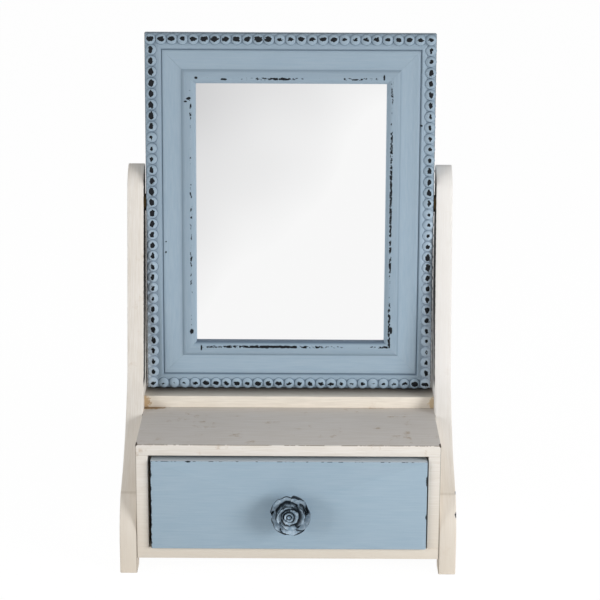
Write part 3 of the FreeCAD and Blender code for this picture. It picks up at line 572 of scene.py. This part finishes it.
# The moulding's section: in from the outer edge, and up from the back, in millimetres, with what each point's
# paint does there: how readily it chips, and how dark its painted shade is.
SECTION = (
    (39.0, 0.0, 0, 0), (39.0, 11.0, 0, 0), (44.9, 11.0, 0, 0.1), (44.9, 16.2, 0, 0.1), (44.4, 17.0, 0, 0.1),
    (42.6, 18.4, 0, 0.14), (41.5, 19.0, 0.58, 0.12), (40.5, 19.3, 0.66, 0.12), (39.5, 19.3, 0.60, 0.14),
    (38.4, 19.3, 0, 0.14), (35.0, 19.0, 0, 0.16), (33.4, 18.6, 0, 0.14), (32.5, 17.4, 0, 0.42),
    (31.6, 17.0, 0, 0), (24.0, 15.9, 0, 0), (15.6, 17.0, 0, 0.05), (14.8, 16.7, 0, 0.3),
    (14.3, 15.8, 0, 0.85), (13.7, 16.8, 0, 0.35), (12.9, 17.8, 0, 0.08), (9.6, 17.6, 0, 0.05),
    (8.6, 17.0, 0, 0.42), (0.5, 16.6, 0, 0.3), (0.0, 16.2, 2, 0), (0.0, 15.2, 0.6, 0), (0.0, 13.0, 0, 0),
    (0.0, 0.0, 0, 0),
)
# Points of the section, by their number: the back, the lip at the glass, and the middle of the hollow, which
# is rounded by this much.
BACK, LIP, HOLLOW = (0, 1), (2, 3, 4), 14
HOLLOW_ROUND = 6.5
# The bead strip's inner edge and its level, and how far the first and last beads stand from the ends.
STRIP_EDGE, STRIP_LEVEL, BEAD_MARGIN = 8, 17.0, 5.2
# How far each end runs past its mitre, into the next length.
MITRE_OVERLAP = 0.05
# A bead's own profile, out from its middle and up from the strip: a shallow dome that meets its neighbours.
BEAD = ((0.0, 2.6), (1.8, 2.45), (3.2, 2.0), (4.2, 1.35), (4.8, 0.7), (5.15, -0.1), (5.3, -0.9))
# A bead is a little longer across its row than along it. It chips round a point this far towards the frame's
# outer edge, less and less with each millimetre out, and its wear spreads more along the row than across it.
BEAD_STRETCH = 1.06
WEAR_ASIDE, WEAR_FADE, WEAR_ALONG, WEAR_ACROSS = 0.5, 0.26, 1.25, 0.85
# Its foot takes painted shade from this radius over this width, and beyond this line, towards the frame's
# outer edge, only this share of it.
BEAD_FOOT, FOOT_WIDTH, OUTER_LINE, OUTER_SHADE = 4.5, 0.6, -1.5, 0.4

# The four lengths in order round the frame, a quarter turn apart, with the corner where each starts, and how
# hand work, wear and painted shade have left each: how far its carving lies in from where the section has it
# and how far in its beads stand, in millimetres, how dark the painted shade on its lip is, and how readily
# its crest and its beads chip.
SIDES = ("bottom", "right", "top", "left")
CORNERS = {"bottom": (-FRAME_HALF, -FRAME_BELOW), "right": (FRAME_HALF, -FRAME_BELOW),
           "top": (FRAME_HALF, FRAME_ABOVE), "left": (-FRAME_HALF, FRAME_ABOVE)}
DRIFT = {"bottom": -0.8, "right": -0.5, "top": 0.8, "left": 1.2}
BEAD_ROW = {"bottom": 4.9, "right": 5.2, "top": 5.8, "left": 6.1}
LIP_SHADE = {"bottom": 0.85, "right": 0.1, "top": 0.1, "left": 0.1}
CREST_WEAR = {"bottom": 1.06, "right": 1.06, "top": 0.92, "left": 0.88}
BEAD_WEAR = {"bottom": 1.12, "right": 1.20, "top": 1.28, "left": 1.25}
BEADS_ACROSS, BEADS_UP = 27, 33


def make_moulding(work, side, length):
    """One length of plain moulding, from its section to its mitres; gives its layers for wear and for painted
    shade.
    """
    crest = work.verts.layers.float.new("crest")
    dark_and_shade = work.verts.layers.float.new("dark_and_shade")
    points = []
    for number, (inward, up, chips, dark) in enumerate(SECTION):
        if inward > STRIP_EDGE and number not in BACK:
            inward += DRIFT[side]
        point = work.verts.new((0.0, inward * MM, up * MM))
        point[crest] = chips * CREST_WEAR[side]
        point[dark_and_shade] = LIP_SHADE[side] if number in LIP else dark
        points.append(point)
    work.faces.new(points)
    bmesh.ops.bevel(work, geom=[points[HOLLOW]], offset=HOLLOW_ROUND * MM, offset_type="OFFSET", segments=6,
                    profile=0.5, affect="VERTICES", material=-1, clamp_overlap=True)
    run = bmesh.ops.extrude_face_region(work, geom=work.faces[:])
    moved = [item for item in run["geom"] if isinstance(item, bmesh.types.BMVert)]
    bmesh.ops.translate(work, verts=moved, vec=(length, 0.0, 0.0))
    turn = SIDES.index(side)
    before, after = SIDES[turn - 1], SIDES[(turn + 1) % len(SIDES)]
    start, end = (DRIFT[other] - DRIFT[side] + MITRE_OVERLAP for other in (before, after))
    for where, slope, away in ((start * MM, -1.0, "clear_inner"), (length - end * MM, 1.0, "clear_outer")):
        whole = work.verts[:] + work.edges[:] + work.faces[:]
        cut = bmesh.ops.bisect_plane(work, geom=whole, dist=0.001 * MM, plane_co=(where, 0.0, 0.0),
                                     plane_no=(1.0, slope, 0.0), **{away: True})
        ring = [item for item in cut["geom_cut"] if isinstance(item, bmesh.types.BMEdge)]
        bmesh.ops.edgeloop_fill(work, edges=ring)
    return crest, dark_and_shade


def make_bead(work, crest, dark_and_shade, middle, wear):
    """One carved bead: chipped towards the frame's outer edge, with painted shade at its foot. Wear says how
    readily it chips."""
    bead = turned(work, BEAD, 16)
    bmesh.ops.scale(work, verts=bead, vec=(1.0, BEAD_STRETCH, 1.0))
    for point in bead:
        x, y = point.co.x / MM, point.co.y / MM
        away = math.hypot(x / WEAR_ALONG, (y + WEAR_ASIDE) / WEAR_ACROSS)
        point[crest] = max(0.0, wear - WEAR_FADE * away)
        foot = min(1.0, max(0.0, (math.hypot(x, y) - BEAD_FOOT) / FOOT_WIDTH))
        point[dark_and_shade] = foot * (OUTER_SHADE if y < OUTER_LINE else 1.0)
    bmesh.ops.translate(work, verts=bead, vec=middle)


def make_rail(side):
    """One mitred length of moulding with its row of carved beads. The corner beads belong to the lengths
    across."""
    if side in ("bottom", "top"):
        length, material, last = 2 * FRAME_HALF, blue_across, BEADS_ACROSS - 1
        row = range(BEADS_ACROSS)
    else:
        length, material, last = FRAME_BELOW + FRAME_ABOVE, blue_upright, BEADS_UP - 1
        row = range(1, last)
    work = bmesh.new()
    crest, dark_and_shade = make_moulding(work, side, length)
    margin = BEAD_MARGIN * MM
    pitch = (length - 2 * margin) / last
    for count in row:
        middle = (margin + pitch * count, BEAD_ROW[side] * MM, STRIP_LEVEL * MM)
        make_bead(work, crest, dark_and_shade, middle, BEAD_WEAR[side])
    corner = Matrix.Translation((*CORNERS[side], -FRAME_THICK / 2))
    quarter_turns = Matrix.Rotation(SIDES.index(side) * math.pi / 2, 4, "Z")
    set_in_place(work, mirror_place @ corner @ quarter_turns)
    node = "frame_rail_" + side
    return make_piece(node + "_moulding", work, "mirror", "blue_paint", material, node, smooth=40)


for side in ("bottom", "top", "right", "left"):
    make_rail(side)


# ---------------------------------------------------------------- the rose knob

rose_middle = (rose_low + rose_high) / 2
# The knob's own sizes are in millimetres.
ROSE_RADIUS = 17.8
# The petals from the bud outwards: middle angle, half width, rim radius, rim height, the width of the dark
# fold at its foot, dark resin with painted shade, and the width of the dark rub on its rim.
PETALS = (
    (60, 181, 1.5, 19.6, 0.0, 0.3),
    (100, 105, 4.4, 19.3, 1.6, 0.5), (-75, 96, 3.7, 19.0, 0.9, 0.9),
    (10, 74, 7.7, 18.2, 1.5, 0.5), (126, 70, 6.8, 18.0, 2.7, 0.7), (-118, 82, 7.4, 17.8, 1.0, 2.2),
    (84, 46, 10.2, 16.2, 1.4, 2.4), (-6, 54, 12.8, 15.6, 4.4, 0.6), (-88, 66, 11.8, 15.8, 1.2, 1.0),
    (168, 58, 11.2, 16.2, 1.3, 0.7),
    (44, 42, ROSE_RADIUS, 7.0, 1.2, 5.0), (-26, 42, ROSE_RADIUS, 11.0, 1.0, 0.7),
    (-84, 42, ROSE_RADIUS, 12.6, 1.0, 1.8), (-144, 46, ROSE_RADIUS, 11.4, 1.4, 2.2),
    (128, 54, ROSE_RADIUS, 6.4, 2.8, 1.4),
)
# A rim grows a little past its radius, waves and ripples in and out, turns in at its petal's sides, and runs
# outwards along its length, as shares of its radius.
RIM_GROWTH, RIM_WAVE, RIM_RIPPLE, RIM_TURN_IN, RIM_SPIRAL = 1.01, 0.025, 0.018, 0.15, 0.1
# A petal falls this far towards its foot, on this curve, and is no narrower than this. Its rim rolls over by
# this much in this width.
PETAL_FALL, PETAL_CURVE, PETAL_LEAST, RIM_ROLL, RIM_WIDTH = 2.6, 0.8, 0.5, 0.5, 0.6
# How fast a fold's dark, dark resin with painted shade, fades outwards, and how much wider the folds are on
# the rose's underside, as painted shade.
FOLD_FADE, UNDER_SHADE = 0.75, 0.7
# The bud stands this far aside, and the petals lean with it less and less out to this radius.
BUD_ASIDE, LEAN_RADIUS = (-1.0, 1.8), 15
# The cupped back, from the rim in: the share of the edge's radius, and the height.
CUP = ((1.0, 4.8), (0.96, 3.8), (0.86, 2.4), (0.72, 1.1), (0.52, 0.2), (0.0, 0.0))
# How many points the bloom has round it, and from its middle out to its edge.
TURNS, STEPS = 160, 52
# The neck's profile behind the rose, out from its axis and up it, with a soft collar on the drawer.
NECK_LENGTH = (stem_high.y - stem_low.y) / MM
NECK = ((0.0, 0.0), (8.9, 0.0), (9.0, 0.8), (7.8, 2.2), (6.9, 4.5), (7.2, 6.6), (8.4, NECK_LENGTH),
        (0.0, NECK_LENGTH))
# How dark the painted shade on the cupped back and the neck is.
CUP_SHADE, NECK_SHADE = 0.3, 0.35


def knob_place(foot):
    """The knob's own axes: X right, Y up, Z out towards the hand, from the level of this foot."""
    return Matrix.Translation((rose_middle.x, foot, rose_middle.z)) @ Matrix.Rotation(math.pi / 2, 4, "X")


def petal_rims(turn):
    """Each petal that reaches this direction, from the bud outwards: its rim's radius there, its height, its
    fold and its rub."""
    rims = []
    for middle, half, radius, high, fold, rub in PETALS:
        away = ((math.degrees(turn) - middle + 180) % 360 - 180) / half
        if abs(away) < 1:
            ripple = RIM_WAVE * math.sin(5 * turn + high) + RIM_RIPPLE * math.sin(12 * turn + radius)
            reach = radius * (1 - RIM_TURN_IN * abs(away) ** 3) * (RIM_GROWTH + RIM_SPIRAL * away + ripple)
            rims.append((min(reach, ROSE_RADIUS), high, fold, rub))
    return rims


def carve_rose(reach, turn, rims):
    """The bloom's height at a point, how much its rim is rubbed there, and how dark its fold is, with dark
    resin and painted shade.
    """
    inner = 0.0
    for rim, high, fold, rub in rims:
        if reach <= rim:
            share = (rim - reach) / max(rim - inner, PETAL_LEAST)
            roll = max(0.0, 1 - (rim - reach) / RIM_WIDTH)
            worn = max(0.0, 1 - (rim - reach) / rub)
            fold += UNDER_SHADE * max(0.0, -math.sin(turn))
            dark = 0.0 if inner == 0.0 else max(0.0, 1 - (reach - inner) / fold * FOLD_FADE)
            return high - PETAL_FALL * share ** PETAL_CURVE - RIM_ROLL * roll ** 2, worn, dark
        inner = max(inner, rim)
    return high, 0.0, 0.0


def make_rose():
    """The cast bloom: a relief of overlapping petals, cupped at the back."""
    work = bmesh.new()
    crest = work.verts.layers.float.new("crest")
    dark_and_shade = work.verts.layers.float.new("dark_and_shade")
    rows = STEPS + len(CUP)
    bmesh.ops.create_grid(work, x_segments=TURNS, y_segments=rows, size=1.0)
    for point in work.verts:
        turn = math.pi * (point.co.x + 1)
        row = round((point.co.y + 1) / 2 * rows)
        rims = petal_rims(turn)
        edge = max(rim for rim, *_ in rims)
        aside = 0.0
        if row <= STEPS:
            reach = edge * row / STEPS
            height, point[crest], point[dark_and_shade] = carve_rose(reach, turn, rims)
            aside = max(0.0, 1 - reach / LEAN_RADIUS)
        else:
            share, height = CUP[row - STEPS - 1]
            reach = edge * share
            point[dark_and_shade] = CUP_SHADE
        point.co = ((reach * math.cos(turn) + BUD_ASIDE[0] * aside) * MM,
                    (reach * math.sin(turn) + BUD_ASIDE[1] * aside) * MM, height * MM)
    bmesh.ops.remove_doubles(work, verts=work.verts, dist=TURNED_MERGE)
    set_in_place(work, knob_place(rose_high.y))
    return make_piece("rose_bloom", work, "drawer", "knob_paint", resin, "knob_rose", smooth=50)


def make_stem():
    """The waisted neck behind the rose, in painted shade."""
    work = bmesh.new()
    dark_and_shade = work.verts.layers.float.new("dark_and_shade")
    for point in turned(work, NECK, 40):
        point[dark_and_shade] = NECK_SHADE
    set_in_place(work, knob_place(stem_high.y))
    return make_piece("rose_stem", work, "drawer", "knob_paint", resin, "knob_stem", smooth=50)


make_rose()
make_stem()


# ---------------------------------------------------------------- finishes on the nodes that stay

KEPT = {
    glass: ("mirror_glass",),
    board_brown: ("box_back", "backing_board"),
    pine: ("drawer_bottom", "rail_dowels", "carcass_dowels"),
    steel: ("panel_screws", "back_brads", "backing_brads", "corner_nails", "pivot_bolt_left",
            "pivot_bolt_right", "drawer_brads", "knob_screw", "knob_washer"),
    brass: ("pivot_bush_left", "pivot_bush_right", "pivot_washer_left", "pivot_washer_right",
            "pivot_insert_left", "pivot_insert_right"),
}
for material, names in KEPT.items():
    for name in names:
        node = frame["nodes"][name]
        node.data.materials.clear()
        node.data.materials.append(material)


# ---------------------------------------------------------------- studio

# How bright the floor and the air are where they are seen, and how bright the air is as a lamp.
WHITE, AMBIENT = 1.04, 0.334
# How much of the floor, as seen, is plain white. The rest keeps the shadow.
FLOOR_WHITE = 0.93
FLOOR_RADIUS = 9.0
# The softboxes' side, and the point that they are turned to.
SOFTBOX, SOFTBOX_AIM = 0.8, (0, 0, 0.25)
# The camera: its lens and sensor in millimetres, its place in metres, and in radians how far it looks down
# and how far it leans to one side.
LENS, SENSOR = 117.39, 36.0
CAMERA_PLACE = (0.00976, -1.69856, 0.69879)
CAMERA_DOWN, CAMERA_LEAN = 0.2658, 0.005


def make_floor():
    """A plain pale floor. Seen directly or in the mirror it reads nearly white, and keeps the shadow."""
    material = bpy.data.materials.new("matt_white_sweep")
    tree = bare_tree(material)
    matt = add(tree, "BsdfDiffuse", Color=paint("F4F4F4"))
    glow = add(tree, "Emission", Color=(1, 1, 1, 1), Strength=WHITE)
    path = add(tree, "LightPath").outputs
    eye = add(tree, "Math", {"operation": "MULTIPLY"}, _0=path["Is Camera Ray"], _1=FLOOR_WHITE)
    share = add(tree, "Math", {"operation": "MAXIMUM"}, _0=eye, _1=path["Is Glossy Ray"])
    both = add(tree, "MixShader", _0=share, _1=matt, _2=glow)
    add(tree, "OutputMaterial", Surface=both)
    work = bmesh.new()
    bmesh.ops.create_circle(work, cap_ends=True, segments=64, radius=FLOOR_RADIUS)
    floor = put("floor", as_mesh("floor", work, material))


def make_world():
    """White all round for the eye and the mirror, softer as a lamp."""
    world = bpy.data.worlds.new("studio")
    bpy.context.scene.world = world
    tree = bare_tree(world)
    path = add(tree, "LightPath").outputs
    seen = add(tree, "Math", {"operation": "MAXIMUM"}, _0=path["Is Camera Ray"], _1=path["Is Glossy Ray"])
    strength = add(tree, "MapRange", Value=seen, To_Min=AMBIENT, To_Max=WHITE)
    sky = add(tree, "Background", Color=(1, 1, 1, 1), Strength=strength)
    add(tree, "OutputWorld", Surface=sky)


def make_softbox(name, place, watts):
    """A square soft light at this place, turned towards the object."""
    light = bpy.data.lights.new(name, "AREA")
    light.shape = "SQUARE"
    light.size = SOFTBOX
    light.energy = watts
    towards = (Vector(SOFTBOX_AIM) - Vector(place)).to_track_quat("-Z", "Y")
    put(name, light).matrix_world = Matrix.Translation(place) @ towards.to_matrix().to_4x4()


def make_camera():
    """The camera, in front and above, looking down a little."""
    view = bpy.data.cameras.new("camera")
    view.lens = LENS
    view.sensor_width = SENSOR
    view.clip_end = 50.0
    camera = put("camera", view)
    down = Matrix.Rotation(math.pi / 2 - CAMERA_DOWN, 4, "X")
    camera.matrix_world = Matrix.Translation(CAMERA_PLACE) @ down @ Matrix.Rotation(CAMERA_LEAN, 4, "Z")
    bpy.context.scene.camera = camera


make_floor()
make_world()
make_softbox("softbox_left", (-1.5, -1.1, 0.5), 11.0)
make_softbox("softbox_right", (1.5, -1.1, 0.5), 20.8)
make_camera()
bpy.context.scene.view_settings.view_transform = "Standard"
